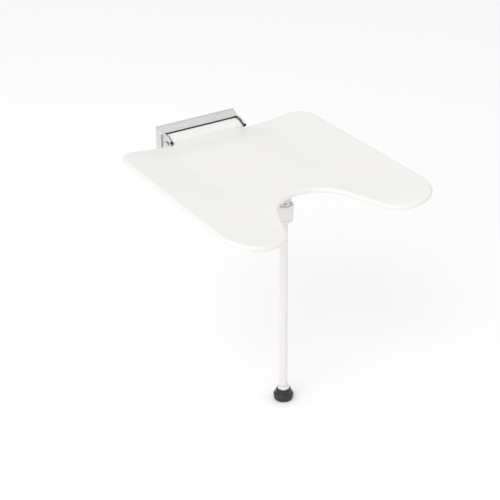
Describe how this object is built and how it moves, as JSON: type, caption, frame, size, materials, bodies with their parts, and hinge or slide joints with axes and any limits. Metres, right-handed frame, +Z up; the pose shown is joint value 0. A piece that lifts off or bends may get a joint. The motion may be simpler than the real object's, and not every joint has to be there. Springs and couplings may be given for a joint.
{
  "type": "wall-hung folding shower seat",
  "caption": "Wall-hung folding shower seat: a white moulded seat with a front cutout on a chrome hinge bracket, with a hinged, adjustable floor leg.",
  "frame": {"origin": "centre of the bracket's back face, on the wall", "axes": "+Y into the wall, +Z up, +X to the right of someone facing the wall; the seat reaches out along -Y"},
  "size_m": [0.458, 0.561, 0.5088],
  "materials": {
    "seat_white": "glossy moulded plastic with a fine, soft sheen",
    "coat_white": "satin powder coat",
    "chrome": "polished chrome",
    "steel": "plain stainless steel",
    "black_plastic": "matt black bearing plastic",
    "black_rubber": "satin black rubber"
  },
  "bodies": {
    "wall_bracket": {"wall_plate": "steel", "housing_cover": "chrome", "barrel_wiper": "black_rubber", "cover_screw_1": "steel", "cover_screw_2": "steel", "side_cheek_right": "chrome", "side_cheek_left": "chrome", "axle_bush_right": "black_plastic", "axle_bush_left": "black_plastic", "axle_cap_right": "chrome", "axle_cap_left": "chrome", "hinge_axle": "steel", "cheek_seal_right": "black_rubber", "cheek_seal_left": "black_rubber", "stop_buffer_right": "black_rubber", "stop_buffer_left": "black_rubber"},
    "seat": {"seat_shell": "seat_white", "hinge_barrel": "seat_white", "support_arm_right": "coat_white", "support_arm_left": "coat_white", "arm_bush_right": "black_plastic", "arm_bush_left": "black_plastic", "friction_disc_right": "black_plastic", "friction_disc_left": "black_plastic", "axle_spacer": "steel", "cross_rail": "coat_white", "rail_screw_right": "steel", "rail_screw_left": "steel", "seat_screw_1_right": "steel", "seat_screw_1_left": "steel", "seat_screw_2_right": "steel", "seat_screw_2_left": "steel", "seat_screw_3_right": "steel", "seat_screw_3_left": "steel", "leg_bracket": "steel", "bracket_screw_1_right": "steel", "bracket_screw_1_left": "steel", "bracket_screw_2_right": "steel", "bracket_screw_2_left": "steel"},
    "leg": {"leg_socket": "coat_white", "leg_pin": "steel", "pin_clip": "steel", "socket_ring": "coat_white", "leg_tube": "coat_white", "thread_insert": "steel"},
    "foot": {"foot_spindle": "steel", "foot_ferrule": "coat_white", "rubber_foot": "black_rubber"}
  },
  "joints": [
    {"name": "seat_fold", "type": "hinge", "parent": "wall_bracket", "child": "seat", "pos_m": [0, -0.039, 0.0145], "axis": [-1, 0, 0], "range_deg": [0, 90]},
    {"name": "leg_fold", "type": "hinge", "parent": "seat", "child": "leg", "pos_m": [0, -0.3465, 0.0015], "axis": [1, 0, 0], "range_deg": [0, 84.6]},
    {"name": "foot_adjust", "type": "slide", "parent": "leg", "child": "foot", "axis": [0, 0, -1], "range_m": [0, 0.02]}
  ],
  "couplings": [
    {"joint": "leg_fold", "follows": "seat_fold", "ratio": 0.94}
  ]
}
